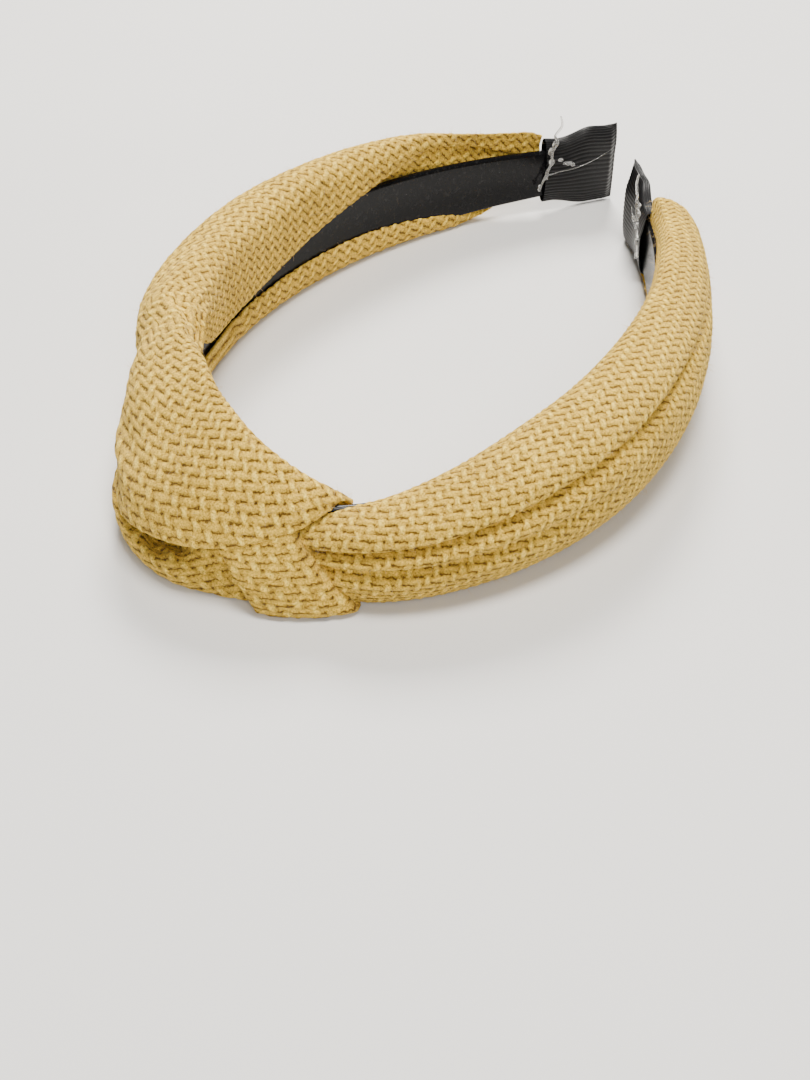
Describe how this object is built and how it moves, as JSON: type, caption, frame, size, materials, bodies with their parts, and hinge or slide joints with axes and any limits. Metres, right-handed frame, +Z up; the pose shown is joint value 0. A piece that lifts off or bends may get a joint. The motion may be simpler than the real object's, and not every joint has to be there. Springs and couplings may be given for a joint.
{
  "type": "knotted hairband",
  "caption": "C-shaped springy plastic hairband sleeved in chunky woven cloth, with a wrapped cloth knot at the crown and black ribbon caps glued over the tips.",
  "frame": {"origin": "middle of the footprint, on the surface that the band lies on", "axes": "the band lies on its side: +Z is up and is the width direction of the band, +Y runs from the knot at the crown to the opening between the tips, and +X is towards the right arm"},
  "size_m": [0.1146, 0.171, 0.033],
  "materials": {
    "cloth": "chunky mustard-beige weave with slightly hairy yarn",
    "core": "glossy black injection-moulded plastic",
    "ribbon": "black grosgrain ribbon with fine ribs",
    "glue": "set hot-melt glue, milky and translucent"
  },
  "bodies": {
    "crown": {"core_crown": "core", "knot_over_wrap": "cloth", "knot_tongue": "cloth", "knot_lower_pass": "cloth", "knot_roll": "cloth", "knot_inner_pass": "cloth", "glue_film_knot": "glue"},
    "left_arm": {"core_left_arm": "core", "cover_left": "cloth", "ribbon_left": "ribbon", "glue_left": "glue", "glue_film_left": "glue"},
    "right_arm": {"core_right_arm": "core", "cover_right": "cloth", "ribbon_right": "ribbon", "glue_right": "glue", "glue_film_right": "glue"}
  },
  "joints": [
    {"name": "left_arm_flex", "type": "hinge", "parent": "crown", "child": "left_arm", "pos_m": [-0.03056, -0.05612, 0.0104], "axis": [0, 0, 1], "range_deg": [-4, 22], "stiffness_Nm_per_rad": 1.2},
    {"name": "right_arm_flex", "type": "hinge", "parent": "crown", "child": "right_arm", "pos_m": [0.02747, -0.05612, 0.0104], "axis": [0, 0, -1], "range_deg": [-4, 22], "stiffness_Nm_per_rad": 1.2}
  ]
}
